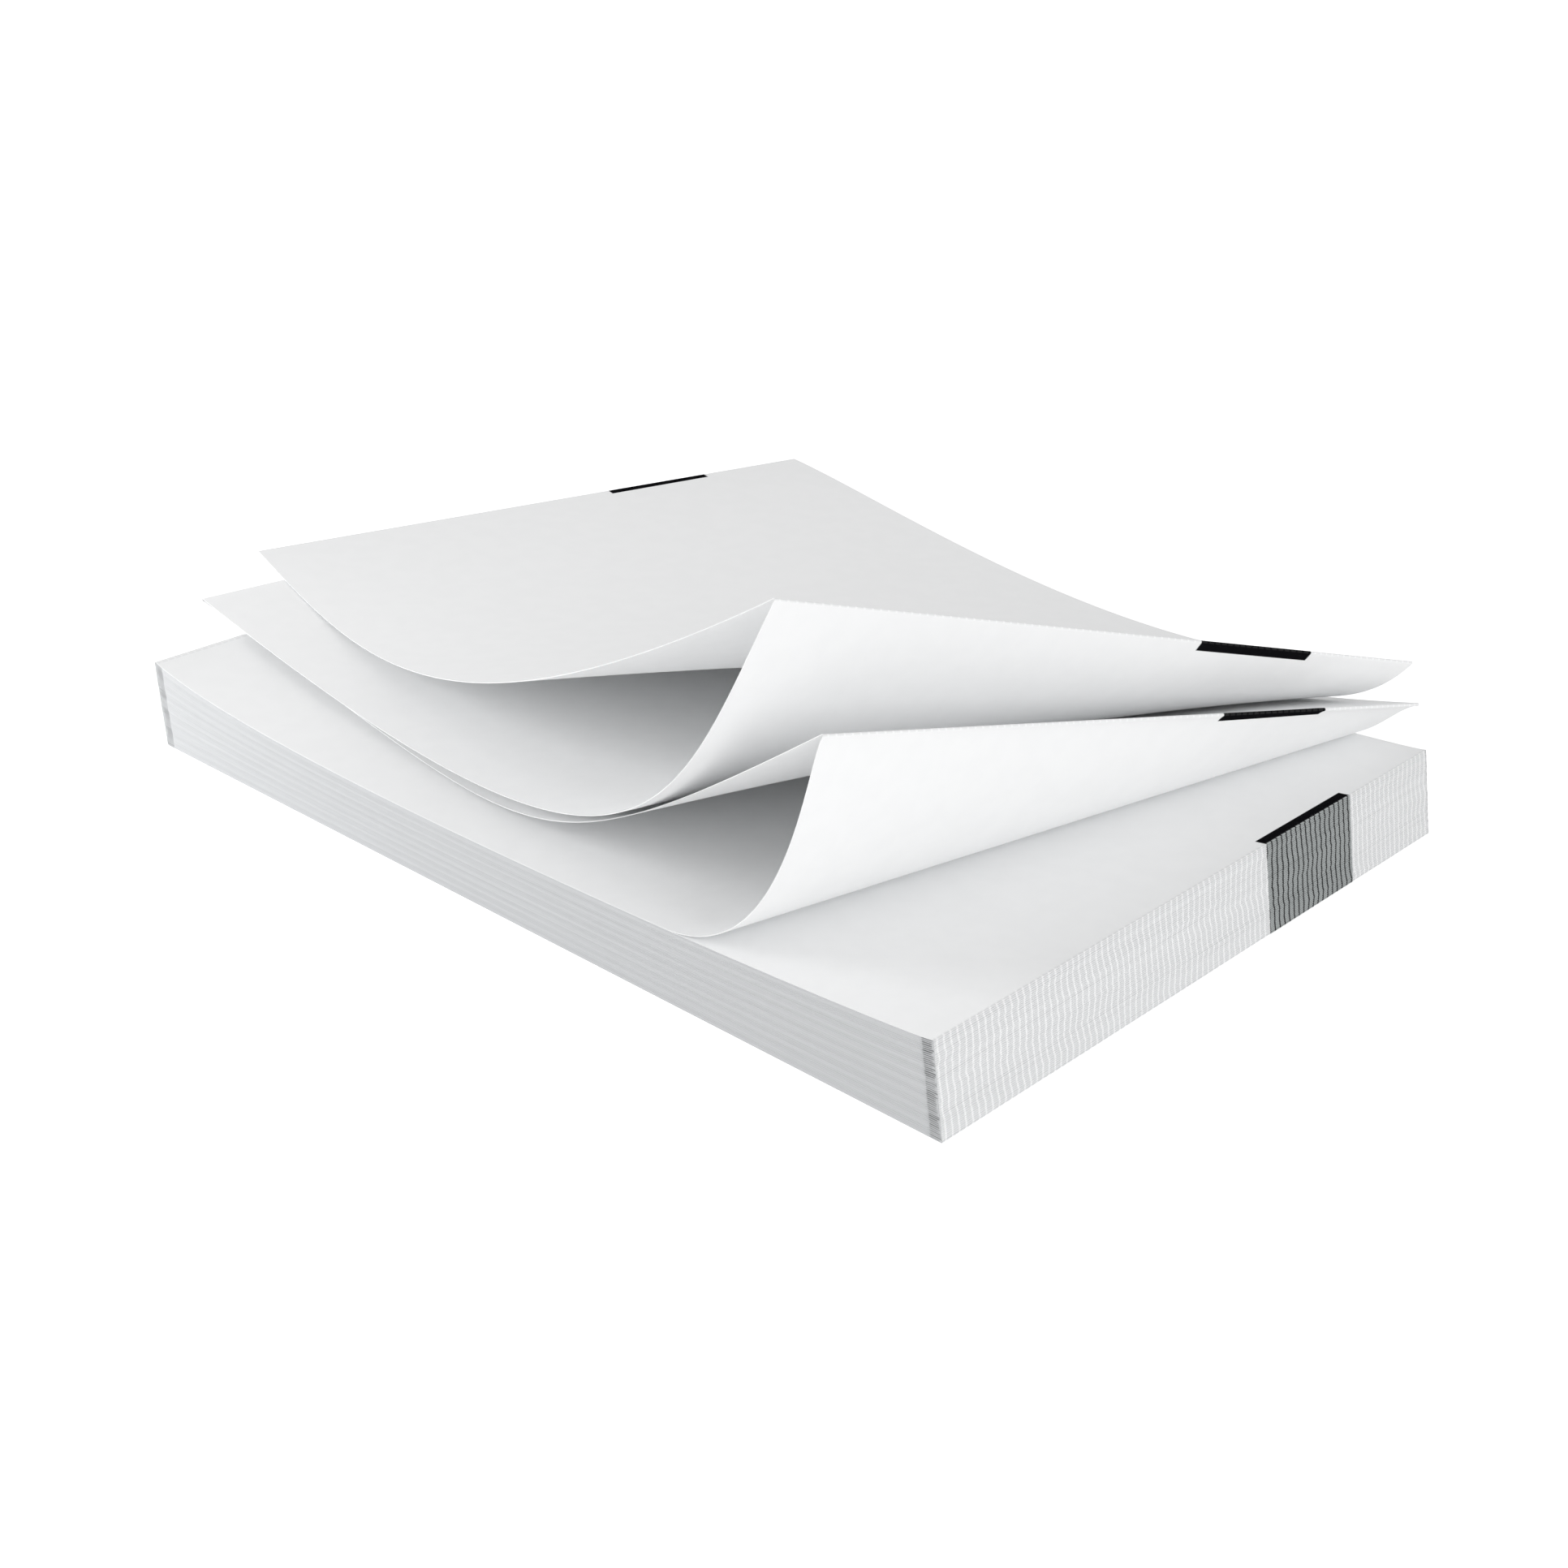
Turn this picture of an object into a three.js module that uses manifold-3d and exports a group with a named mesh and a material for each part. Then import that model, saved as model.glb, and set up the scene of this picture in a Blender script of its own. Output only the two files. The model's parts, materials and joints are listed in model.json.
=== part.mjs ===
import * as THREE from 'three';
import { mergeVertices } from 'three/addons/utils/BufferGeometryUtils.js';
import Module from 'manifold-3d';

// Fanfold continuous paper: one web, folded to and fro at its perforations into a block of pages,
// with its last four pages lifted and curled. Millimetres, +X along a page towards the end that
// shows its folds, +Y across the web, +Z up. The origin is the middle of the block's underside.

// Page
const pageLength = 297;
const pageWidth = 210;
const paperGauge = 0.2;

// Block of folded pages
const foldsPerEnd = 48;
const foldPitchRight = 0.49;
const foldPitchLeft = 0.515;
const leanAlong = -4.9;
const leanAcross = 1.5;

// Dish of the block's top, as how far the curve's handles stand in from the ends and down
const dishLeftReach = 58;
const dishLeftDrop = 15.3;
const dishRightReach = 4;
const dishRightDrop = 2.2;
const dishSteps = 28;

// One fold at the block's end: a blunt nose, a groove between two noses, a slit of air inside
const grooveDepth = 0.45;
const noseShare = 0.5;
const slitSkin = 0.35;
const slitLength = 2.3;
const slitShare = 0.34;

// A lifted fold: how far its two sheets stand from its middle line
const foldRadius = 0.35;
const noseSteps = 6;

// The page that still lies on the block: how deep it beds in, and how far it stays inside the cut
const bedDepth = 0.11;
const cutInset = 0.15;

// Where the lowest lifted page leaves the block, measured in from the right end, and its pull there
const liftNear = { reach: 83.5, pull: 40 };
const liftFar = { reach: 25, pull: 8 };

// The lifted folds and the free edge. Each corner is measured from the block's top corner on its
// own side, and each end from the end of the block that it belongs to.
const freeEdge = { end: 'left', near: [-34.5, 62, 9.5], far: [6, 58, 3] };
const upperRightFold = { end: 'right', near: [-57, 9, 83], far: [-5, -6, 26] };
const leftFold = { end: 'left', near: [-18.5, 30, 6], far: [2, 29, 2] };
const lowerRightFold = { end: 'right', near: [-39, 5.5, 57.5], far: [-3.5, -2, 13] };

// The lifted pages. A page's near and far cut edges are cubic curves about one page long, and the
// pulls say which way and how far each curve is drawn at its right and at its left fold.
const firstPage = {
  nearRight: [-121, 3.5, -77.5], nearLeft: [69, -14, -13.5],
  farRight: [-84.5, 7.5, -34], farLeft: [67.5, -16, 0.5],
};
const secondPage = {
  nearRight: [-22.5, -12.5, -58.5], nearLeft: [222, -24, -26.5],
  farRight: [-24, -3, -33], farLeft: [207.5, -20, -2.5],
};
const thirdPage = {
  nearRight: [-107, 3.5, -77.5], nearLeft: [166, -12.5, -17.5],
  farRight: [-116.5, 13.5, -35], farLeft: [165, -14, -1],
};
const fourthPage = { nearRight: [-3.5, -1.5, -7.5], farRight: [-5.5, 0.5, -1.5] };

// Facets
const pageSteps = 26;
const liftSteps = 14;
const acrossSteps = 6;

// Block sizes that follow from those above
const rightHeight = foldsPerEnd * foldPitchRight;
const leftHeight = foldsPerEnd * foldPitchLeft;
const rightTopX = pageLength / 2 + leanAlong;
const leftTopX = -pageLength / 2 + leanAlong;
const leanSlope = leanAcross * 2 / (rightHeight + leftHeight);

const dish = new THREE.CubicBezierCurve(
  new THREE.Vector2(leftTopX, leftHeight),
  new THREE.Vector2(leftTopX + dishLeftReach, leftHeight - dishLeftDrop),
  new THREE.Vector2(rightTopX - dishRightReach, rightHeight - dishRightDrop),
  new THREE.Vector2(rightTopX, rightHeight),
);

// Point of the dished top at a given x, found by halving, because x grows all along the curve
function topAt(x) {
  let low = 0;
  let high = 1;
  for (let i = 0; i < 30; i += 1) {
    const middle = (low + high) / 2;
    if (dish.getPoint(middle).x < x) low = middle;
    else high = middle;
  }
  return dish.getPoint((low + high) / 2).y;
}

// One end of the block, seen from the near side
function blockEnd(side) {
  const right = side === 'right';
  const height = right ? rightHeight : leftHeight;
  const outward = right ? 1 : -1;
  return {
    outward,
    height,
    pitch: height / foldsPerEnd,
    faceX: (z) => outward * pageLength / 2 + leanAlong * z / height,
  };
}

// The folds of one end from the bottom up: for each a groove's root and the two shoulders of a nose
function noses(end) {
  const points = [];
  for (let i = 0; i < foldsPerEnd; i += 1) {
    const root = i * end.pitch;
    const middle = root + end.pitch / 2;
    const shoulder = end.pitch * noseShare / 2;
    points.push(new THREE.Vector2(end.faceX(root) - end.outward * grooveDepth, root));
    points.push(new THREE.Vector2(end.faceX(middle), middle - shoulder));
    points.push(new THREE.Vector2(end.faceX(middle), middle + shoulder));
  }
  return points;
}

// The air inside each fold: a slit that narrows to nothing where the two pages meet
function slits(end) {
  const holes = [];
  for (let i = 0; i < foldsPerEnd; i += 1) {
    const z = (i + 0.5) * end.pitch;
    const half = end.pitch * slitShare / 2;
    const mouthX = end.faceX(z) - end.outward * slitSkin;
    const innerX = mouthX - end.outward * slitLength;
    const innerZ = topAt(innerX) * z / end.height;
    holes.push(new THREE.Path([
      new THREE.Vector2(mouthX, z - half),
      new THREE.Vector2(mouthX, z + half),
      new THREE.Vector2(innerX, innerZ),
    ]));
  }
  return holes;
}

// The block is its side view carried across the web, then leaned a little towards the far side
function blockGeometry() {
  const left = blockEnd('left');
  const right = blockEnd('right');
  const firstX = leftTopX + grooveDepth;
  const lastX = rightTopX - grooveDepth;
  const top = [];
  for (let i = 0; i <= dishSteps; i += 1) {
    const x = THREE.MathUtils.lerp(lastX, firstX, i / dishSteps);
    top.push(new THREE.Vector2(x, topAt(x)));
  }
  const outline = new THREE.Shape([...noses(right), ...top, ...noses(left).reverse()]);
  outline.holes = [...slits(right), ...slits(left)];
  const geometry = new THREE.ExtrudeGeometry(outline, { depth: pageWidth, bevelEnabled: false });
  geometry.rotateX(Math.PI / 2);
  geometry.translate(0, pageWidth / 2, 0);
  const position = geometry.attributes.position;
  for (let i = 0; i < position.count; i += 1) {
    position.setY(i, position.getY(i) + leanSlope * position.getZ(i));
  }
  return geometry;
}

// Corner of a lifted fold in the part's frame
function corner(fold, side) {
  const right = fold.end === 'right';
  const topCorner = new THREE.Vector3(
    right ? rightTopX : leftTopX,
    (side === 'near' ? -pageWidth : pageWidth) / 2 + leanAcross,
    right ? rightHeight : leftHeight,
  );
  return topCorner.add(new THREE.Vector3(...fold[side]));
}

// The two places where the sheets meet a lifted fold, one foldRadius above and below its line
function foldLips(fold, side, upperPull, lowerPull) {
  const line = corner(fold, side);
  const foldLine = corner(fold, 'far').sub(corner(fold, 'near')).normalize();
  const inward = upperPull.clone().normalize().add(lowerPull.clone().normalize()).normalize();
  const up = new THREE.Vector3().crossVectors(foldLine, inward).normalize();
  if (up.z < 0) up.negate();
  return {
    upper: line.clone().addScaledVector(up, foldRadius),
    lower: line.clone().addScaledVector(up, -foldRadius),
  };
}

// Cubic curve between two points with a pull at each
function pulled(start, startPull, finish, finishPull) {
  const first = start.clone().add(startPull);
  const second = finish.clone().add(finishPull);
  return new THREE.CubicBezierCurve3(start, first, second, finish);
}

// The round nose of a lifted fold: it leaves each sheet straight on and turns back in about foldRadius
function nose(start, startPull, finish, finishPull) {
  const bulge = foldRadius * 4 / 3;
  const out = startPull.clone().normalize().multiplyScalar(-bulge);
  const back = finishPull.clone().normalize().multiplyScalar(-bulge);
  return pulled(start, out, finish, back);
}

function pointOnBed(x, side) {
  const z = topAt(x) + paperGauge / 2 - bedDepth;
  const cut = pageWidth / 2 - cutInset;
  return new THREE.Vector3(x, (side === 'near' ? -cut : cut) + leanSlope * z, z);
}

// One cut edge of the web, from the free edge down to the page that lies on the block
function webEdge(side) {
  const pull = (page, end) => new THREE.Vector3(...page[side + end]);
  const lift = side === 'near' ? liftNear : liftFar;
  const upperRight = foldLips(upperRightFold, side, pull(firstPage, 'Right'), pull(secondPage, 'Right'));
  const left = foldLips(leftFold, side, pull(secondPage, 'Left'), pull(thirdPage, 'Left'));
  const lowerRight = foldLips(lowerRightFold, side, pull(thirdPage, 'Right'), pull(fourthPage, 'Right'));
  const liftX = rightTopX - lift.reach;
  const liftPoint = pointOnBed(liftX, side);
  const alongBed = pointOnBed(liftX + 1, side).sub(liftPoint).multiplyScalar(lift.pull);
  const curves = [
    [pulled(corner(freeEdge, side), pull(firstPage, 'Left'), upperRight.upper, pull(firstPage, 'Right')), pageSteps],
    [nose(upperRight.upper, pull(firstPage, 'Right'), upperRight.lower, pull(secondPage, 'Right')), noseSteps],
    [pulled(upperRight.lower, pull(secondPage, 'Right'), left.upper, pull(secondPage, 'Left')), pageSteps],
    [nose(left.upper, pull(secondPage, 'Left'), left.lower, pull(thirdPage, 'Left')), noseSteps],
    [pulled(left.lower, pull(thirdPage, 'Left'), lowerRight.upper, pull(thirdPage, 'Right')), pageSteps],
    [nose(lowerRight.upper, pull(thirdPage, 'Right'), lowerRight.lower, pull(fourthPage, 'Right')), noseSteps],
    [pulled(lowerRight.lower, pull(fourthPage, 'Right'), liftPoint, alongBed), liftSteps],
  ];
  const points = [];
  for (const [curve, steps] of curves) points.push(...curve.getPoints(steps).slice(0, -1));
  const bedEnd = leftTopX + 2 * grooveDepth;
  for (let i = 0; i <= dishSteps; i += 1) {
    points.push(pointOnBed(THREE.MathUtils.lerp(liftX, bedEnd, i / dishSteps), side));
  }
  return points;
}

// The web as a thin closed body: straight lines from the near to the far edge, with the paper's
// gauge laid half to each side of them
function webGeometry() {
  const near = webEdge('near');
  const far = webEdge('far');
  const rows = near.length;
  const columns = acrossSteps + 1;
  const direction = (edge, i) => edge[Math.min(i + 1, rows - 1)].clone().sub(edge[Math.max(i - 1, 0)]);
  const positions = [];
  for (const face of [1, -1]) {
    for (let i = 0; i < rows; i += 1) {
      const across = far[i].clone().sub(near[i]);
      const nearNormal = direction(near, i).cross(across).normalize();
      const farNormal = direction(far, i).cross(across).normalize();
      for (let j = 0; j < columns; j += 1) {
        const share = j / acrossSteps;
        const normal = nearNormal.clone().lerp(farNormal, share).normalize();
        const point = near[i].clone().lerp(far[i], share);
        point.addScaledVector(normal, face * paperGauge / 2);
        positions.push(point.x, point.y, point.z);
      }
    }
  }
  const front = (i, j) => i * columns + j;
  const back = (i, j) => rows * columns + i * columns + j;
  const index = [];
  const quad = (a, b, c, d) => index.push(a, b, c, a, c, d);
  for (let i = 0; i < rows - 1; i += 1) {
    for (let j = 0; j < acrossSteps; j += 1) {
      quad(front(i, j), front(i + 1, j), front(i + 1, j + 1), front(i, j + 1));
      quad(back(i, j), back(i, j + 1), back(i + 1, j + 1), back(i + 1, j));
    }
    quad(front(i, 0), back(i, 0), back(i + 1, 0), front(i + 1, 0));
    quad(front(i, acrossSteps), front(i + 1, acrossSteps), back(i + 1, acrossSteps), back(i, acrossSteps));
  }
  for (let j = 0; j < acrossSteps; j += 1) {
    quad(front(0, j), front(0, j + 1), back(0, j + 1), back(0, j));
    quad(front(rows - 1, j), back(rows - 1, j), back(rows - 1, j + 1), front(rows - 1, j + 1));
  }
  const geometry = new THREE.BufferGeometry();
  geometry.setAttribute('position', new THREE.Float32BufferAttribute(positions, 3));
  geometry.setIndex(index);
  return geometry;
}

const wasm = await Module();
wasm.setup();

function toSolid(geometry) {
  const bare = geometry.clone();
  bare.deleteAttribute('normal');
  bare.deleteAttribute('uv');
  const merged = mergeVertices(bare, 1e-5);
  return new wasm.Manifold(new wasm.Mesh({
    numProp: 3,
    vertProperties: new Float32Array(merged.attributes.position.array),
    triVerts: new Uint32Array(merged.index.array),
  }));
}

function toGeometry(solid) {
  const mesh = solid.getMesh();
  const geometry = new THREE.BufferGeometry();
  geometry.setAttribute('position', new THREE.BufferAttribute(mesh.vertProperties, 3));
  geometry.setIndex(new THREE.BufferAttribute(mesh.triVerts, 1));
  geometry.computeVertexNormals();
  return geometry;
}

const paper = new THREE.MeshStandardMaterial({ color: 0xe6e8ea, roughness: 0.85, metalness: 0 });

const folded = toSolid(blockGeometry()).add(toSolid(webGeometry()));
const web = new THREE.Mesh(toGeometry(folded), paper);
web.name = 'paper_web';

const part = new THREE.Group();
part.add(web);

export default part;
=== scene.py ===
"""Looks of a block of fanfold continuous paper whose last four pages are lifted and curled.

The CAD part is one web. Here it is built again as finer surfaces from the same sizes: the lifted
pages, the block's pages, its cut faces and its fold ends. Lengths are metres, +X runs along a page
towards the end that shows its folds, +Y across the web and +Z up.
"""

import json
import math

import bpy
import numpy as np
from mathutils import Matrix

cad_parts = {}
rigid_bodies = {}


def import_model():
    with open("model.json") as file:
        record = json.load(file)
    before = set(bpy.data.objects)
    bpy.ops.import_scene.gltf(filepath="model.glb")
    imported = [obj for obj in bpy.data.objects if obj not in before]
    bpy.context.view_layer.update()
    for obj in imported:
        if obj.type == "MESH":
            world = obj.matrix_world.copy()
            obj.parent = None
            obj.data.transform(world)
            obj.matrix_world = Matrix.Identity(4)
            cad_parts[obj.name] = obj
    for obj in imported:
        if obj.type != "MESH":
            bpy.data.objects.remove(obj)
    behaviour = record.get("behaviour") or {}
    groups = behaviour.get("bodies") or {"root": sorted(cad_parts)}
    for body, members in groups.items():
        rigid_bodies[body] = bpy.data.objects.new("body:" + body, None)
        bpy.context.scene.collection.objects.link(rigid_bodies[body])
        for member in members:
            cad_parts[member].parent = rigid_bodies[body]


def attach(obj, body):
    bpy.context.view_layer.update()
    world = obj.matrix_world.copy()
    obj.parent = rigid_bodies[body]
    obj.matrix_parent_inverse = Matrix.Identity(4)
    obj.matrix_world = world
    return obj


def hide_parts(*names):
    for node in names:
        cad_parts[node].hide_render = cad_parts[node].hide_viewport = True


bl_info = {
    "name": "Fanfold Paper",
    "version": (1, 0, 0),
    "blender": (4, 5, 0),
    "location": "View3D > Sidebar > Paper",
    "description": "Builds the looks of a block of fanfold continuous paper",
    "category": "Object",
}

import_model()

MM = 0.001

# Corners of the lifted folds and of the free edge, in mm from the block's top corner of that end
FREE_EDGE = {"end": "left", "near": (-34.5, 62, 9.5), "far": (6, 58, 3)}
UPPER_RIGHT = {"end": "right", "near": (-57, 9, 83), "far": (-5, -6, 26)}
LEFT_FOLD = {"end": "left", "near": (-18.5, 30, 6), "far": (2, 29, 2)}
LOWER_RIGHT = {"end": "right", "near": (-39, 5.5, 57.5), "far": (-3.5, -2, 13)}

# Pulls of the pages' cut edges at their right and left folds, in mm
FIRST_PAGE = {
    "near": ((-121, 3.5, -77.5), (69, -14, -13.5)),
    "far": ((-84.5, 7.5, -34), (67.5, -16, 0.5)),
}
SECOND_PAGE = {
    "near": ((-22.5, -12.5, -58.5), (222, -24, -26.5)),
    "far": ((-24, -3, -33), (207.5, -20, -2.5)),
}
THIRD_PAGE = {
    "near": ((-107, 3.5, -77.5), (166, -12.5, -17.5)),
    "far": ((-116.5, 13.5, -35), (165, -14, -1)),
}
FOURTH_PAGE = {"near": (-3.5, -1.5, -7.5), "far": (-5.5, 0.5, -1.5)}

# Pull of the fourth page along the bed where it leaves the block, in mm
LIFT_PULL = {"near": 40, "far": 8}

# Pulls of the dished top's side view at its two ends, along the page and up, in mm
DISH_LEFT = (58, -15.3)
DISH_RIGHT = (-4, -2.2)

# Strip of slits beside each fold end of a cut face, their mouths painted black as shade: its reach,
# its soft edge and its depth, in mm
SLIT_REACH = 3.6
SLIT_EDGE = 0.3
SLIT_DEPTH = 0.6

# Share of the width where the ragged edge at the far corner of a fold end starts
RAGGED_START = 0.996

# Grid steps along the web for a page, a nose, the lifted stretch and the bed, and points across
PAGE_STEPS = 130
NOSE_STEPS = 14
LIFT_STEPS = 60
BED_STEPS = 90
POINTS_ACROSS = 57

# Floor: half its side and its drop below the paper in metres, its glow towards the camera, and
# its glow on everything
FLOOR_HALF = 6.0
FLOOR_DROP = 0.0002
FLOOR_SEEN = 0.41
FLOOR_GLOW = 0.11

# Camera: azimuth, elevation and roll in degrees, the origin in its view in mm, and its lens, whose
# focal length and picture width are in the photo's pixels
CAMERA_TURN = (42.93, 25.50, 0.70)
CAMERA_OFFSET = (-1.8, 1.1, 668.9)
CAMERA_FOCAL = 2884
PICTURE_WIDTH = 1932
SENSOR_WIDTH = 36


def length(name, text, value):
    """A length property in metres whose default is given in mm."""
    return bpy.props.FloatProperty(
        name=name, description=text, default=value * MM, min=0, precision=5, unit="LENGTH"
    )


class PaperSizes(bpy.types.PropertyGroup):
    """Sizes of the paper and its block."""

    page_length: length("Page length", "From one perforated fold to the next", 297)
    page_width: length("Page width", "From one cut edge of the web to the other", 210)
    paper_gauge: length("Paper gauge", "Thickness of the lifted pages", 0.2)
    folds: bpy.props.IntProperty(
        name="Folds at an end", description="Folds that show at each end of the block",
        default=48, min=2, max=90,
    )
    pitch_right: length("Fold pitch, right", "Height of one fold at the right end", 0.49)
    pitch_left: length("Fold pitch, left", "Height of one fold at the left end", 0.515)
    lean_along: bpy.props.FloatProperty(
        name="Lean along", description="How far the block's top stands off its foot along the page",
        default=-4.9 * MM, precision=5, unit="LENGTH",
    )
    lean_across: length("Lean across", "The same across the web", 1.5)
    groove: length("Groove", "Depth of the groove between two folds", 0.45)
    fold_radius: length("Fold radius", "Half the height of a lifted fold's nose", 0.35)
    bed: length("Bed", "How deep the lying page beds into the block", 0.11)
    cut_inset: length("Cut inset", "How far the lying page stays inside the cut faces", 0.15)
    lift_near: length("Lift, near", "Where the fourth page leaves the block, near side", 83.5)
    lift_far: length("Lift, far", "Where the fourth page leaves the block, far side", 25)
    tie_pitch: length("Tie pitch", "From one tie of the perforation to the next", 2.3)
    tie_width: length("Tie width", "Width of one tie", 0.55)
    mark_reach: length("Mark reach", "How far a mark runs to each side of its fold", 3)
    mark_start: bpy.props.FloatProperty(
        name="Mark start", description="Share of the page width where the marks start",
        default=0.62, min=0, max=1,
    )
    mark_end: bpy.props.FloatProperty(
        name="Mark end", description="Share of the page width where the marks end",
        default=0.81, min=0, max=1,
    )


class PaperColours(bpy.types.PropertyGroup):
    """Colours and light."""

    paper: bpy.props.FloatVectorProperty(
        name="Paper", description="Colour of the page", subtype="COLOR", size=3,
        default=(0.893, 0.897, 0.9), min=0, max=1,
    )
    # The cut face is the same paper, painted grey as the shade among its stacked edges
    cut: bpy.props.FloatVectorProperty(
        name="Cut face", description="Colour of the block's cut faces", subtype="COLOR", size=3,
        default=(0.6, 0.61, 0.62), min=0, max=1,
    )
    mark: bpy.props.FloatVectorProperty(
        name="Mark", description="Colour of the printed marks", subtype="COLOR", size=3,
        default=(0.006, 0.006, 0.007), min=0, max=1,
    )
    ambient: bpy.props.FloatProperty(
        name="Ambient", description="Light of the surroundings on the object", default=0.65, min=0,
    )
    right_lamp: bpy.props.FloatProperty(
        name="Right lamp", description="Power of the low soft lamp on the right", default=3.5, min=0,
    )
    left_lamp: bpy.props.FloatProperty(
        name="Left lamp", description="Power of the high soft lamp on the left", default=0.4, min=0,
    )
    front_lamp: bpy.props.FloatProperty(
        name="Front lamp", description="Power of the soft lamp beside the near cut face", default=1.8,
        min=0,
    )


def bezier(a, b, c, d, t):
    """Cubic curve: the four points weighted by (1-t)^3, 3t(1-t)^2, 3t^2(1-t) and t^3."""
    t = np.asarray(t, float)[..., None]
    s = 1 - t
    return s ** 3 * a + 3 * s * s * t * b + 3 * s * t * t * c + t ** 3 * d


def unit(v):
    """Vectors of length one along the given ones."""
    return v / np.maximum(np.linalg.norm(v, axis=-1, keepdims=True), 1e-12)


def scatter(k):
    """A number from 0 to 1 that jumps about as k grows: the fraction of a large sine."""
    return (np.sin(k * 12.9898) * 43758.5453) % 1


class Block:
    """The block's measures in mm, worked out from the sizes."""

    def __init__(self, sizes):
        self.page = sizes.page_length / MM
        self.width = sizes.page_width / MM
        self.folds = sizes.folds
        self.groove = sizes.groove / MM
        self.lean = sizes.lean_along / MM
        self.height = {
            "right": self.folds * sizes.pitch_right / MM,
            "left": self.folds * sizes.pitch_left / MM,
        }
        self.top_x = {"right": self.page / 2 + self.lean, "left": -self.page / 2 + self.lean}
        self.across = sizes.lean_across / MM
        self.slope = self.across * 2 / (self.height["right"] + self.height["left"])

    def dish(self, t):
        """Side view of the dished top: a cubic curve from the left end to the right end."""
        x0, x1 = self.top_x["left"], self.top_x["right"]
        z0, z1 = self.height["left"], self.height["right"]
        left, right = np.array([x0, z0], float), np.array([x1, z1], float)
        return bezier(left, left + DISH_LEFT, right + DISH_RIGHT, right, t)

    def top(self, x):
        """Height of the dished top at x, found by halving, because x grows along the curve."""
        low = np.zeros(np.shape(x))
        high = np.ones(np.shape(x))
        for _ in range(30):
            middle = (low + high) / 2
            short = self.dish(middle)[..., 0] < x
            low = np.where(short, middle, low)
            high = np.where(short, high, middle)
        return self.dish((low + high) / 2)[..., 1]

    def rows(self):
        """Heights in folds: each fold has eight rows, closer together beside its slit."""
        cell = np.array([0, 0.12, 0.25, 0.41, 0.5, 0.59, 0.75, 0.88])
        rows = (np.arange(self.folds)[:, None] + cell).ravel()
        return np.append(rows, self.folds)

    def face_x(self, end, t, y):
        """x of a fold end: the leaning face, less the groove depth times |2f-1|^3 with f the
        place inside the fold, less a small wave and a small set-back for each fold."""
        sign = 1 if end == "right" else -1
        f = t % 1
        fold = np.minimum(np.floor(t), self.folds - 1)
        phase = 12.9 * fold + (0 if sign > 0 else 40)
        wave = 0.05 * (1 + np.sin(y / 23 + phase)) + 0.03 * (1 + np.sin(y / 7.1 + 2.3 * phase))
        back = 0.05 * (1 + np.sin(phase * 7.7))
        inward = self.groove * np.abs(2 * f - 1) ** 3 + (wave + back) * (1 - np.abs(2 * f - 1))
        return sign * self.page / 2 + self.lean * t / self.folds - sign * inward


def corner(block, fold, side):
    """Corner of a lifted fold in mm."""
    end = fold["end"]
    y = (-block.width if side == "near" else block.width) / 2 + block.across
    return np.array([block.top_x[end], y, block.height[end]]) + np.array(fold[side], float)


def lips(block, fold, side, upper, lower, radius):
    """The two points where the sheets meet a lifted fold, a radius above and below its line."""
    line = corner(block, fold, side)
    along = unit(corner(block, fold, "far") - corner(block, fold, "near"))
    up = unit(np.cross(along, unit(unit(upper) + unit(lower))))
    up = -up if up[2] < 0 else up
    return line + up * radius, line - up * radius


def on_bed(block, sizes, x, side):
    """Points of the page that lies on the block: the dished top, raised by half the gauge less
    the bed, just inside the cut face."""
    x = np.asarray(x, float)
    z = block.top(x) + sizes.paper_gauge / MM / 2 - sizes.bed / MM
    cut = block.width / 2 - sizes.cut_inset / MM
    y = (-cut if side == "near" else cut) + block.slope * z
    return np.stack([x, y, z], -1)


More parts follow.
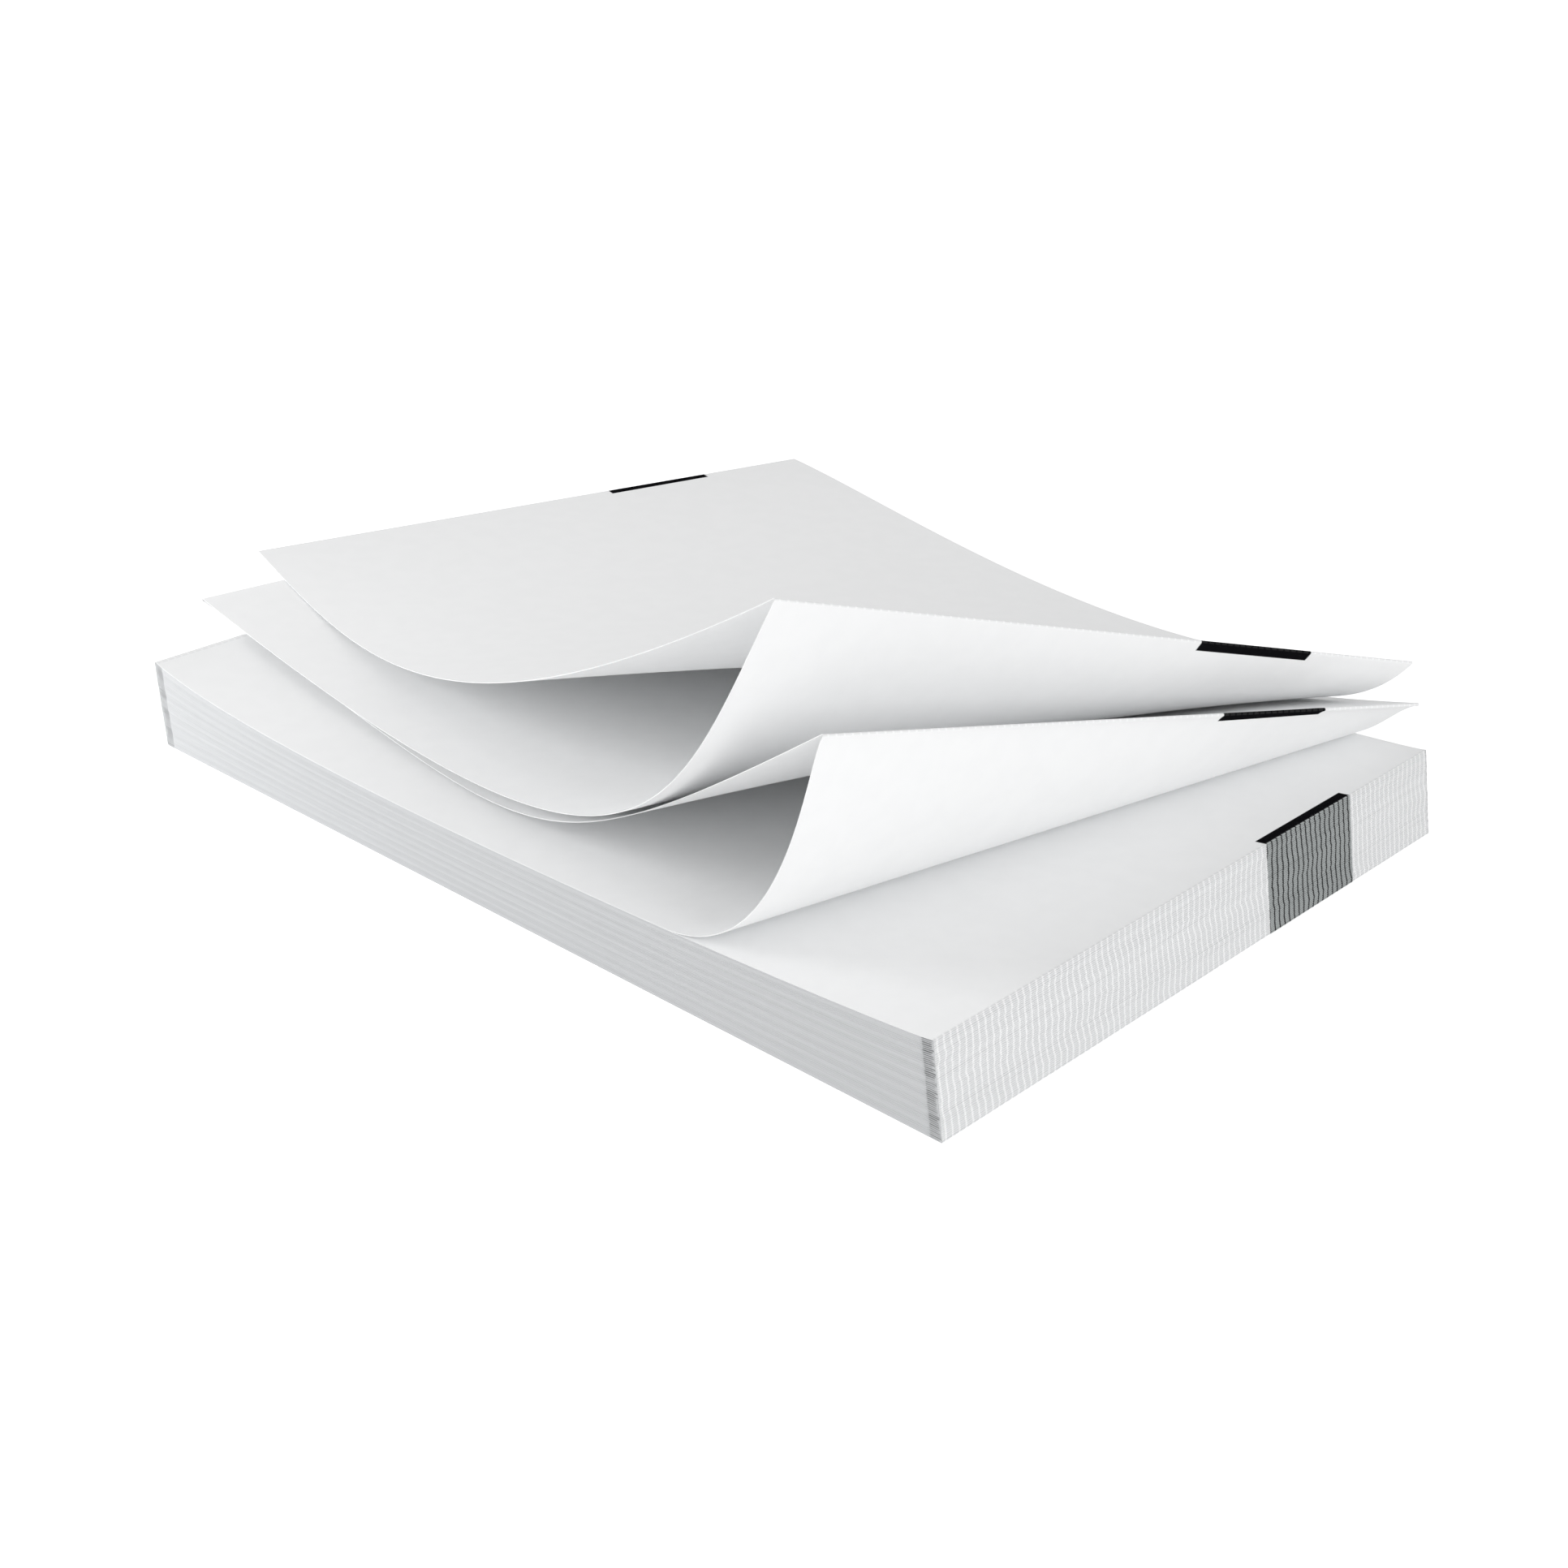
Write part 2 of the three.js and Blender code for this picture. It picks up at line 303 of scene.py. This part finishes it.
def web_edge(block, sizes, side):
    """One cut edge of the web from the free edge down to the lying page: cubic curves for the
    pages, short ones for the noses, then the dished bed. Also the place along the web in pages,
    by the share of each curve's length, with a whole number at each fold."""
    radius = sizes.fold_radius / MM
    first, second, third = FIRST_PAGE[side], SECOND_PAGE[side], THIRD_PAGE[side]
    pulls = [np.array(p, float) for p in (*first, *second, *third, FOURTH_PAGE[side])]
    r1, l1, r2, l2, r3, l3, r4 = pulls
    high = lips(block, UPPER_RIGHT, side, r1, r2, radius)
    left = lips(block, LEFT_FOLD, side, l2, l3, radius)
    low = lips(block, LOWER_RIGHT, side, r3, r4, radius)
    reach = sizes.lift_near if side == "near" else sizes.lift_far
    lift_x = block.top_x["right"] - reach / MM
    lift = on_bed(block, sizes, lift_x, side)
    along = (on_bed(block, sizes, lift_x + 1, side) - lift) * LIFT_PULL[side]
    bulge = radius * 4 / 3
    start = corner(block, FREE_EDGE, side)
    curves = [
        (start, start + l1, high[0] + r1, high[0], PAGE_STEPS),
        (high[0], high[0] - unit(r1) * bulge, high[1] - unit(r2) * bulge, high[1], NOSE_STEPS),
        (high[1], high[1] + r2, left[0] + l2, left[0], PAGE_STEPS),
        (left[0], left[0] - unit(l2) * bulge, left[1] - unit(l3) * bulge, left[1], NOSE_STEPS),
        (left[1], left[1] + l3, low[0] + r3, low[0], PAGE_STEPS),
        (low[0], low[0] - unit(r3) * bulge, low[1] - unit(r4) * bulge, low[1], NOSE_STEPS),
        (low[1], low[1] + r4, lift + along, lift, LIFT_STEPS),
    ]
    points, places = [], []
    nose = radius * 1.6 / block.page
    spans = [(0, 1 - nose), (1 - nose, 1 + nose), (1 + nose, 2 - nose), (2 - nose, 2 + nose),
             (2 + nose, 3 - nose), (3 - nose, 3 + nose), (3 + nose, None)]
    for (a, b, c, d, steps), (v0, v1) in zip(curves, spans):
        p = bezier(a, b, c, d, np.linspace(0, 1, steps + 1))
        run = np.append(0, np.cumsum(np.linalg.norm(np.diff(p, axis=0), axis=1)))
        if v1 is None:
            v1 = v0 + run[-1] / block.page
        points.append(p[:-1])
        places.append((v0 + (v1 - v0) * run / run[-1])[:-1])
    x = np.linspace(lift_x, block.top_x["left"] + 2 * block.groove, BED_STEPS)
    p = on_bed(block, sizes, x, side)
    run = np.append(0, np.cumsum(np.linalg.norm(np.diff(p, axis=0), axis=1)))
    points.append(p)
    places.append(v1 + run / block.page)
    return np.vstack(points), np.concatenate(places)


def patch(points, uv, flip=False, **values):
    """A grid of points as one patch: rows by columns by three, its map, and its attributes."""
    return {"points": points, "uv": uv, "flip": flip, "values": values}


def build(name, patches, material):
    """One object at the origin from patches, each a grid of four-cornered faces."""
    for old in [o for o in bpy.data.objects if o.name == name]:
        bpy.data.objects.remove(old)
    co, uv, faces, base = [], [], [], 0
    keys = sorted({k for p in patches for k in p["values"]})
    values = {k: [] for k in keys}
    for p in patches:
        rows, columns = p["points"].shape[:2]
        i = np.arange(rows * columns).reshape(rows, columns) + base
        quad = np.stack([i[:-1, :-1], i[1:, :-1], i[1:, 1:], i[:-1, 1:]], -1).reshape(-1, 4)
        faces.append(quad[:, ::-1] if p["flip"] else quad)
        co.append(p["points"].reshape(-1, 3))
        uv.append(p["uv"].reshape(-1, 2))
        for k in keys:
            flat = np.zeros((rows, columns)) + p["values"].get(k, 0)
            values[k].append(flat.ravel())
        base += rows * columns
    co, uv, faces = np.vstack(co), np.vstack(uv), np.vstack(faces)
    mesh = bpy.data.meshes.new(name)
    mesh.vertices.add(len(co))
    mesh.vertices.foreach_set("co", (co * MM).astype(np.float32).ravel())
    mesh.loops.add(faces.size)
    mesh.loops.foreach_set("vertex_index", faces.astype(np.int32).ravel())
    mesh.polygons.add(len(faces))
    mesh.polygons.foreach_set("loop_start", np.arange(0, faces.size, 4, dtype=np.int32))
    mesh.update(calc_edges=True)
    mesh.polygons.foreach_set("use_smooth", np.ones(len(faces), bool))
    layer = mesh.uv_layers.new(name="web")
    layer.data.foreach_set("uv", uv[faces.ravel()].astype(np.float32).ravel())
    for k in keys:
        attribute = mesh.attributes.new(k, "FLOAT", "POINT")
        attribute.data.foreach_set("value", np.concatenate(values[k]).astype(np.float32))
    mesh.validate()
    mesh.materials.append(material)
    piece = bpy.data.objects.new(name, mesh)
    bpy.context.scene.collection.objects.link(piece)
    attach(piece, "root")
    return piece


class Graph:
    """Short names for adding and linking shader nodes."""

    def __init__(self, tree):
        self.tree = tree

    def node(self, kind, **settings):
        made = self.tree.nodes.new(kind)
        for key, value in settings.items():
            setattr(made, key, value)
        return made

    def put(self, socket, value):
        if isinstance(value, bpy.types.NodeSocket):
            self.tree.links.new(value, socket)
        else:
            socket.default_value = value

    def math(self, operation, a, b=0.0, c=None):
        made = self.node("ShaderNodeMath", operation=operation)
        self.put(made.inputs[0], a)
        self.put(made.inputs[1], b)
        if c is not None:
            self.put(made.inputs[2], c)
        return made.outputs[0]

    def mix(self, share, a, b):
        made = self.node("ShaderNodeMix", data_type="RGBA")
        self.put(made.inputs["Factor"], share)
        self.put(made.inputs[6], a)
        self.put(made.inputs[7], b)
        return made.outputs[2]

    def noise(self, vector, scale, detail=3.0):
        made = self.node("ShaderNodeTexNoise")
        self.put(made.inputs["Vector"], vector)
        made.inputs["Scale"].default_value = scale
        made.inputs["Detail"].default_value = detail
        return made.outputs["Fac"]

    def step(self, value, low, high):
        """Smoothly from 0 at low to 1 at high."""
        made = self.node("ShaderNodeMapRange", interpolation_type="SMOOTHSTEP")
        self.put(made.inputs["Value"], value)
        made.inputs["From Min"].default_value = low
        made.inputs["From Max"].default_value = high
        return made.outputs["Result"]


def fibre_group():
    """Node group: a faint cloudiness of the paper as a share, and the height of its grain."""
    name = "Paper fibre"
    if name in bpy.data.node_groups:
        return bpy.data.node_groups[name]
    tree = bpy.data.node_groups.new(name, "ShaderNodeTree")
    tree.interface.new_socket(name="Cloud", in_out="OUTPUT", socket_type="NodeSocketFloat")
    tree.interface.new_socket(name="Grain", in_out="OUTPUT", socket_type="NodeSocketFloat")
    g = Graph(tree)
    where = g.node("ShaderNodeTexCoord").outputs["Object"]
    out = g.node("NodeGroupOutput")
    g.put(out.inputs["Cloud"], g.noise(where, 160, 5))
    g.put(out.inputs["Grain"], g.noise(where, 2600, 4))
    return tree


def mark_group(sizes):
    """Node group: from the place across and along the web, the mask of the marks' band across,
    the distance from the nearest fold in mm, and the mask of the perforation's ties, which waver
    by a slow noise that the folds share."""
    name = "Web marks"
    if name in bpy.data.node_groups:
        return bpy.data.node_groups[name]
    tree = bpy.data.node_groups.new(name, "ShaderNodeTree")
    for socket in ("Band", "From fold", "Tie"):
        tree.interface.new_socket(name=socket, in_out="OUTPUT", socket_type="NodeSocketFloat")
    g = Graph(tree)
    uv = g.node("ShaderNodeUVMap", uv_map="web").outputs[0]
    part = g.node("ShaderNodeSeparateXYZ")
    g.put(part.inputs[0], uv)
    u, v = part.outputs[0], part.outputs[1]
    soft = 0.0012
    start = g.step(u, sizes.mark_start - soft, sizes.mark_start + soft)
    end = g.step(u, sizes.mark_end - soft, sizes.mark_end + soft)
    away = g.math("ABSOLUTE", g.math("SUBTRACT", g.math("FRACT", g.math("ADD", v, 0.5)), 0.5))
    width = sizes.page_width / MM
    pitch = sizes.tie_pitch / MM
    half = sizes.tie_width / sizes.tie_pitch / 2
    stretch = g.node("ShaderNodeMapping")
    g.put(stretch.inputs["Vector"], uv)
    stretch.inputs["Scale"].default_value = (4, 0.055, 1)
    waver = g.math("MULTIPLY", g.math("SUBTRACT", g.noise(stretch.outputs[0], 1, 3), 0.5), 2.0)
    across = g.math("ADD", g.math("MULTIPLY", u, width / pitch), waver)
    off = g.math("ABSOLUTE", g.math("SUBTRACT", g.math("FRACT", across), 0.5))
    out = g.node("NodeGroupOutput")
    g.put(out.inputs["Band"], g.math("SUBTRACT", start, end))
    g.put(out.inputs["From fold"], g.math("MULTIPLY", away, sizes.page_length / MM))
    g.put(out.inputs["Tie"], g.math("SUBTRACT", 1.0, g.step(off, half * 0.6, half * 1.5)))
    return tree


def attribute(g, name):
    """A float attribute of the mesh."""
    return g.node("ShaderNodeAttribute", attribute_name=name).outputs["Fac"]


def new_material(name):
    """An empty material with its graph, its shader and its output joined up."""
    made = bpy.data.materials.get(name) or bpy.data.materials.new(name)
    made.use_nodes = True
    made.node_tree.nodes.clear()
    g = Graph(made.node_tree)
    shader = g.node("ShaderNodeBsdfPrincipled")
    out = g.node("ShaderNodeOutputMaterial")
    g.put(out.inputs["Surface"], shader.outputs["BSDF"])
    shader.inputs["Roughness"].default_value = 0.82
    shader.inputs["Specular IOR Level"].default_value = 0.25
    return made, g, shader


def finish_paper(g, shader, colour, grain=0.05, ink=None):
    """Clouds the colour by a percent or two, except on the ink, whose sheen is lower, and lays
    the grain on as a bump."""
    fibre = g.node("ShaderNodeGroup", node_tree=fibre_group())
    share = g.math("MULTIPLY", g.step(fibre.outputs["Cloud"], 0.35, 0.65), 0.035)
    if ink is not None:
        bare = g.math("SUBTRACT", 1.0, ink)
        share = g.math("MULTIPLY", share, bare)
        g.put(shader.inputs["Specular IOR Level"], g.math("MULTIPLY", bare, 0.25))
    g.put(shader.inputs["Base Color"], g.mix(share, colour, (0.6, 0.61, 0.62, 1)))
    bump = g.node("ShaderNodeBump")
    bump.inputs["Strength"].default_value = grain
    bump.inputs["Distance"].default_value = 0.0002
    g.put(bump.inputs["Height"], fibre.outputs["Grain"])
    g.put(shader.inputs["Normal"], bump.outputs["Normal"])


def page_material(sizes, colours):
    """The page: bare paper with the marks beside the folds on its printed side, and the cuts of
    the perforation as a row of short dashes of painted shade along each fold, grey on the
    bare paper and on the ink the slits' unprinted paper in painted shade."""
    made, g, shader = new_material("paper_page")
    marks = g.node("ShaderNodeGroup", node_tree=mark_group(sizes))
    reach = sizes.mark_reach / MM
    near = g.math("SUBTRACT", 1.0, g.step(marks.outputs["From fold"], reach - 0.12, reach + 0.12))
    mark = g.math("MULTIPLY", g.math("MULTIPLY", near, marks.outputs["Band"]), attribute(g, "printed"))
    # Painted shade: the perforation's slits as dashes along the fold
    at_fold = g.math("SUBTRACT", 1.0, g.step(marks.outputs["From fold"], 0.25, 0.45))
    cut = g.math("MULTIPLY", at_fold, g.math("SUBTRACT", 1.0, marks.outputs["Tie"]))
    paper = g.mix(g.math("MULTIPLY", cut, 0.12), (*colours.paper, 1), (0.3, 0.3, 0.31, 1))
    ink = g.mix(g.math("MULTIPLY", cut, 0.08), (*colours.mark, 1), (0.2, 0.2, 0.2, 1))
    finish_paper(g, shader, g.mix(mark, paper, ink), ink=mark)
    return made


def fold_material(sizes, colours):
    """The fold ends: ties in the paper's colour, cut segments painted greyer as shade inside the
    cuts, grooves painted dark as shade, and the band of the marks, black on the ties and on
    the cuts grey: their unprinted paper in painted shade."""
    made, g, shader = new_material("paper_folds")
    marks = g.node("ShaderNodeGroup", node_tree=mark_group(sizes))
    tie = marks.outputs["Tie"]
    groove = attribute(g, "groove")
    # Painted shade: the perforation's cut segments greyer than the ties
    cut = g.mix(0.4, (*colours.paper, 1), (0.5, 0.51, 0.52, 1))
    white = g.mix(tie, cut, (*colours.paper, 1))
    # Painted shade in the grooves; in the mark band the cuts' unprinted paper is painted grey as shade
    # and the grooves near black
    white = g.mix(g.math("MULTIPLY", groove, 0.45), white, (0.25, 0.25, 0.26, 1))
    grey = g.mix(g.math("MULTIPLY", groove, 0.95), (0.36, 0.38, 0.38, 1), (0.012, 0.012, 0.012, 1))
    black = g.mix(tie, grey, (*colours.mark, 1))
    mark = g.math("MULTIPLY", marks.outputs["Band"], attribute(g, "printed"))
    finish_paper(g, shader, g.mix(mark, white, black))
    return made


def cut_material(colours):
    """The cut faces: the paper painted grey as shade among its stacked edges, fine lines of
    painted shade between the pages, uneven along the page, and the mouths of the slits
    beside each fold end painted near black as their shade."""
    made, g, shader = new_material("paper_cut")
    uv = g.node("ShaderNodeUVMap", uv_map="web").outputs[0]
    stretch = g.node("ShaderNodeMapping")
    g.put(stretch.inputs["Vector"], uv)
    stretch.inputs["Scale"].default_value = (5, 2.1, 1)
    uneven = g.noise(stretch.outputs[0], 1, 4)
    # Painted shade: darker lines in the gaps between the stacked pages, on the grey painted shade of
    # the face
    line = g.math("MULTIPLY", attribute(g, "gap"), g.step(uneven, 0.3, 0.7))
    colour = g.mix(g.math("MULTIPLY", line, 0.4), (*colours.cut, 1), (0.3, 0.3, 0.31, 1))
    # Painted shade: the slits' mouths go near black
    colour = g.mix(attribute(g, "slit"), colour, (0.02, 0.02, 0.021, 1))
    finish_paper(g, shader, colour)
    return made


class PAPER_OT_lifted_pages(bpy.types.Operator):
    """Builds the four lifted pages and the lying page as one web."""

    bl_idname = "paper.lifted_pages"
    bl_label = "Lifted pages"

    def execute(self, context):
        """Each point is far * s + near * (1 - s) with s the share across, moved half the gauge
        along the surface's normal to either side; four narrow strips close the sheet."""
        sizes, colours = context.scene.paper_sizes, context.scene.paper_colours
        block = Block(sizes)
        near, v_near = web_edge(block, sizes, "near")
        far, v_far = web_edge(block, sizes, "far")
        s = np.linspace(0, 1, POINTS_ACROSS)[None, :, None]
        lines = near[:, None] * (1 - s) + far[:, None] * s
        v = v_near[:, None] * (1 - s[..., 0]) + v_far[:, None] * s[..., 0]
        u = s[..., 0] + 0 * v
        across = far - near
        n0 = unit(np.cross(np.gradient(near, axis=0), across))[:, None]
        n1 = unit(np.cross(np.gradient(far, axis=0), across))[:, None]
        normal = unit(n0 * (1 - s) + n1 * s)
        half = sizes.paper_gauge / MM / 2
        front, back = lines + normal * half, lines - normal * half
        uv = np.stack([u, v], -1)

        def strip(a, b, m):
            return patch(np.stack([a, b], 1), np.stack([m, m], 1), printed=0)

        patches = [
            patch(front, uv, printed=1),
            patch(back, uv, flip=True, printed=0),
            strip(back[:, 0], front[:, 0], uv[:, 0]),
            strip(front[:, -1], back[:, -1], uv[:, -1]),
            strip(front[0], back[0], uv[0]),
            strip(back[-1], front[-1], uv[-1]),
        ]
        piece = build("lifted_pages", patches, page_material(sizes, colours))
        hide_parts("paper_web")
        return {"FINISHED"}


class PAPER_OT_block_pages(bpy.types.Operator):
    """Builds the block's top page and its lowest page."""

    bl_idname = "paper.block_pages"
    bl_label = "Block's top and bottom pages"

    def execute(self, context):
        """The top is the dished curve carried straight across; the bottom is a flat page."""
        sizes, colours = context.scene.paper_sizes, context.scene.paper_colours
        block = Block(sizes)
        share = np.linspace(0, 1, 41)
        y = (share - 0.5) * block.width
        patches = []
        for t, steps in ((block.folds, 200), (0, 12)):
            x0 = block.face_x("left", np.full(len(y), float(t)), y)
            x1 = block.face_x("right", np.full(len(y), float(t)), y)
            k = np.linspace(0, 1, steps)[:, None]
            x = x0 * (1 - k) + x1 * k
            z = block.top(x) * t / block.folds
            points = np.stack([x, y + block.slope * z, z], -1)
            v = 4 + (x - x0) / (block.page - 2 * block.groove)
            uv = np.stack([share + 0 * v, v], -1)
            patches.append(patch(points, uv, flip=t == 0, printed=float(t > 0)))
        build("block_pages", patches, page_material(sizes, colours))
        return {"FINISHED"}


class PAPER_OT_fold_ends(bpy.types.Operator):
    """Builds the two ends of the block with a nose for each fold."""

    bl_idname = "paper.fold_ends"
    bl_label = "Fold ends"

    def execute(self, context):
        """x is the fold end's profile of grooves and noses over the rows of all folds; z is the
        end's height times the row's share. A groove's painted shade is |2f-1|^4, with f the
        place inside the fold, times a share that jumps from fold to fold. The last narrow
        column is the ragged edge at the far corner, painted in dashes of shade."""
        sizes, colours = context.scene.paper_sizes, context.scene.paper_colours
        block = Block(sizes)
        material = fold_material(sizes, colours)
        t = block.rows()[:, None]
        share = np.append(np.linspace(0, RAGGED_START, 121), 1)[None]
        y = (share - 0.5) * block.width
        for end in ("right", "left"):
            x = block.face_x(end, t + 0 * y, y + 0 * t)
            z = block.top(x) * t / block.folds
            points = np.stack([x, y + block.slope * z, z], -1)
            fold = np.round(t)
            # Painted shade: dark in each groove, varying from fold to fold, and in dashes on the
            # ragged edge
            deep = 0.15 + 0.85 * scatter(fold) ** 2
            groove = np.abs(2 * (t % 1) - 1) ** 4 * deep * (t < block.folds) + 0 * y
            groove[:, -1] = 1.7 * scatter(np.floor(t[:, 0]) + 0.5)
            uv = np.stack([share + 0 * t, t + 0 * y], -1)
            printed = 1.0 if end == "right" else 0.0
            grid = patch(points, uv, flip=end == "right", groove=groove, printed=printed)
            build(f"fold_end_{end}", [grid], material)
        return {"FINISHED"}


class PAPER_OT_cut_faces(bpy.types.Operator):
    """Builds the two cut faces of the block, where all the page edges show."""

    bl_idname = "paper.cut_faces"
    bl_label = "Cut faces"

    def execute(self, context):
        """Rows are the rows of the folds, and columns run from one fold end to the other. The
        face steps in a little by page. In the strip of slits beside each fold end it sinks by
        the slit's depth times the fold's mouth, which is widest at mid-fold and differs in
        width from fold to fold, and the same share paints the mouth near black as its shade.
        Lines of painted shade mark the gaps between the pages."""
        sizes, colours = context.scene.paper_sizes, context.scene.paper_colours
        block = Block(sizes)
        material = cut_material(colours)
        t = block.rows()[:, None]
        strip_end = [SLIT_REACH - SLIT_EDGE, SLIT_REACH, SLIT_REACH + 1]
        near_end = np.array([0, 0.25, 0.6, 1.1, 1.6, 2.2, 2.8, *strip_end])
        inner = np.linspace(8, block.page - 8, 72)
        run = np.concatenate([near_end, inner, block.page - near_end[::-1]])[None]
        from_end = np.minimum(run, block.page - run)
        f = t % 1
        page = np.minimum(np.floor(t * 2), block.folds * 2 - 1)
        step = 0.06 * (1 + np.sin(page * 9.7)) + 0.03 * (1 + np.sin(run / 31 + page * 5.3))
        fold = np.floor(t)
        wide = 0.3 + 0.7 * scatter(fold)
        mouth = np.clip((1 - np.abs(f - 0.5) / 0.34) * 1.7, 0, 1) * wide
        slit = mouth * np.clip((from_end - 0.1 - 0.9 * scatter(fold + 0.3)) / 0.4, 0, 1)
        slit = slit * np.clip((SLIT_REACH - from_end) / SLIT_EDGE, 0, 1)
        # Share of painted shade in the gaps between pages, at each fold's edges and middle
        line = np.clip(1 - np.minimum(f, 1 - f) / 0.13, 0, 1) + 0.8 * (np.abs(f - 0.5) < 0.05)
        for side, sign in (("near", -1), ("far", 1)):
            y_end = np.full(t.shape, sign * block.width / 2)
            x0 = block.face_x("left", t, y_end)
            x1 = block.face_x("right", t, y_end)
            x = x0 + (x1 - x0) * run / block.page
            z = block.top(x) * t / block.folds
            y = sign * (block.width / 2 - step - SLIT_DEPTH * slit) + block.slope * z
            points = np.stack([x, y, z], -1)
            uv = np.stack([run / block.page + 0 * t, t + 0 * run], -1)
            grid = patch(points, uv, flip=sign < 0, gap=line + 0 * run, slit=slit)
            build(f"cut_face_{side}", [grid], material)
        return {"FINISHED"}


class PAPER_OT_stage(bpy.types.Operator):
    """Sets the floor, the light and the camera."""

    bl_idname = "paper.stage"
    bl_label = "Stage"

    def execute(self, context):
        """The camera is turned by its azimuth, elevation and roll, and stands so that the origin
        falls where the photo has it."""
        scene, colours = context.scene, context.scene.paper_colours
        floor_mesh = bpy.data.meshes.new("floor")
        r, z = FLOOR_HALF, -FLOOR_DROP
        floor_mesh.from_pydata([(-r, -r, z), (r, -r, z), (r, r, z), (-r, r, z)], [], [(0, 1, 2, 3)])
        floor = bpy.data.objects.new("floor", floor_mesh)
        scene.collection.objects.link(floor)
        made, g, shader = new_material("floor")
        shader.inputs["Base Color"].default_value = (0.9, 0.9, 0.9, 1)
        shader.inputs["Specular IOR Level"].default_value = 0
        shader.inputs["Emission Color"].default_value = (1, 1, 1, 1)
        path = g.node("ShaderNodeLightPath")
        glow = g.math("MULTIPLY_ADD", path.outputs["Is Camera Ray"], FLOOR_SEEN, FLOOR_GLOW)
        g.put(shader.inputs["Emission Strength"], glow)
        floor_mesh.materials.append(made)

        world = bpy.data.worlds.new("studio")
        world.use_nodes = True
        scene.world = world
        world.node_tree.nodes.clear()
        g = Graph(world.node_tree)
        path = g.node("ShaderNodeLightPath")
        seen = g.math("MAXIMUM", path.outputs["Is Camera Ray"], path.outputs["Is Glossy Ray"])
        seen = g.math("MAXIMUM", seen, path.outputs["Is Transmission Ray"])
        background = g.node("ShaderNodeBackground")
        strength = g.math("MULTIPLY_ADD", seen, 1 - colours.ambient, colours.ambient)
        g.put(background.inputs["Strength"], strength)
        background.inputs["Color"].default_value = (1, 1, 1, 1)
        out = g.node("ShaderNodeOutputWorld")
        g.put(out.inputs["Surface"], background.outputs[0])

        lamps = (
            ("right_lamp", colours.right_lamp, (1.0, -0.2, 0.42), 0.7),
            ("left_lamp", colours.left_lamp, (-0.65, -0.2, 0.85), 0.35),
            ("front_lamp", colours.front_lamp, (-0.45, -0.42, 0.2), 0.3),
        )
        for name, power, stand, size in lamps:
            light = bpy.data.lights.new(name, "AREA")
            light.shape = "DISK"
            light.size = size
            light.energy = power
            lamp = bpy.data.objects.new(name, light)
            scene.collection.objects.link(lamp)
            z_axis = unit(np.array(stand))
            x_axis = unit(np.cross([0, 0, 1.0], z_axis))
            self.place(lamp, x_axis, np.cross(z_axis, x_axis), z_axis, np.array(stand))

        azimuth, elevation, roll = (math.radians(a) for a in CAMERA_TURN)
        right = np.array([math.cos(azimuth), math.sin(azimuth), 0])
        forward = -np.array([
            math.sin(azimuth) * math.cos(elevation),
            -math.cos(azimuth) * math.cos(elevation),
            math.sin(elevation),
        ])
        up = np.cross(right, forward)
        c, s = math.cos(roll), math.sin(roll)
        turn = np.array([[c, -s, 0], [s, c, 0], [0, 0, 1]]) @ np.array([right, -up, forward])
        place = -turn.T @ np.array(CAMERA_OFFSET) * MM
        camera_data = bpy.data.cameras.new("camera")
        camera_data.sensor_width = SENSOR_WIDTH
        camera_data.lens = CAMERA_FOCAL / PICTURE_WIDTH * SENSOR_WIDTH
        camera_data.clip_start = 0.01
        camera = bpy.data.objects.new("camera", camera_data)
        scene.collection.objects.link(camera)
        self.place(camera, turn[0], -turn[1], -turn[2], place)
        scene.camera = camera
        scene.view_settings.view_transform = "Standard"
        # White pages lit from the side send light on many times
        scene.cycles.max_bounces = 16
        scene.cycles.diffuse_bounces = 12
        return {"FINISHED"}

    @staticmethod
    def place(thing, x_axis, y_axis, z_axis, position):
        """Sets a lamp's or camera's place from its three axes."""
        matrix = np.eye(4)
        matrix[:3, 0], matrix[:3, 1], matrix[:3, 2], matrix[:3, 3] = x_axis, y_axis, z_axis, position
        thing.matrix_world = Matrix(matrix.tolist())


class PAPER_PT_panel(bpy.types.Panel):
    """Lists the sizes, the colours and the builders."""

    bl_idname = "PAPER_PT_panel"
    bl_label = "Fanfold Paper"
    bl_space_type = "VIEW_3D"
    bl_region_type = "UI"
    bl_category = "Paper"

    def draw(self, context):
        """Shows every property and one button for each builder."""
        for group in (context.scene.paper_sizes, context.scene.paper_colours):
            for name in group.__annotations__:
                self.layout.prop(group, name)
        for operator in BUILDERS:
            self.layout.operator(operator.bl_idname)


BUILDERS = (
    PAPER_OT_lifted_pages,
    PAPER_OT_block_pages,
    PAPER_OT_fold_ends,
    PAPER_OT_cut_faces,
    PAPER_OT_stage,
)
CLASSES = (PaperSizes, PaperColours, *BUILDERS, PAPER_PT_panel)


def register():
    """Registers the classes and hangs the two groups of properties on the scene."""
    for cls in CLASSES:
        bpy.utils.register_class(cls)
    bpy.types.Scene.paper_sizes = bpy.props.PointerProperty(type=PaperSizes)
    bpy.types.Scene.paper_colours = bpy.props.PointerProperty(type=PaperColours)


def unregister():
    """Undoes register."""
    del bpy.types.Scene.paper_colours
    del bpy.types.Scene.paper_sizes
    for cls in reversed(CLASSES):
        bpy.utils.unregister_class(cls)


def main():
    """Builds everything in order."""
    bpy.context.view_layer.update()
    register()
    bpy.ops.paper.lifted_pages()
    bpy.ops.paper.block_pages()
    bpy.ops.paper.fold_ends()
    bpy.ops.paper.cut_faces()
    bpy.ops.paper.stage()


if __name__ == "__main__":
    main()
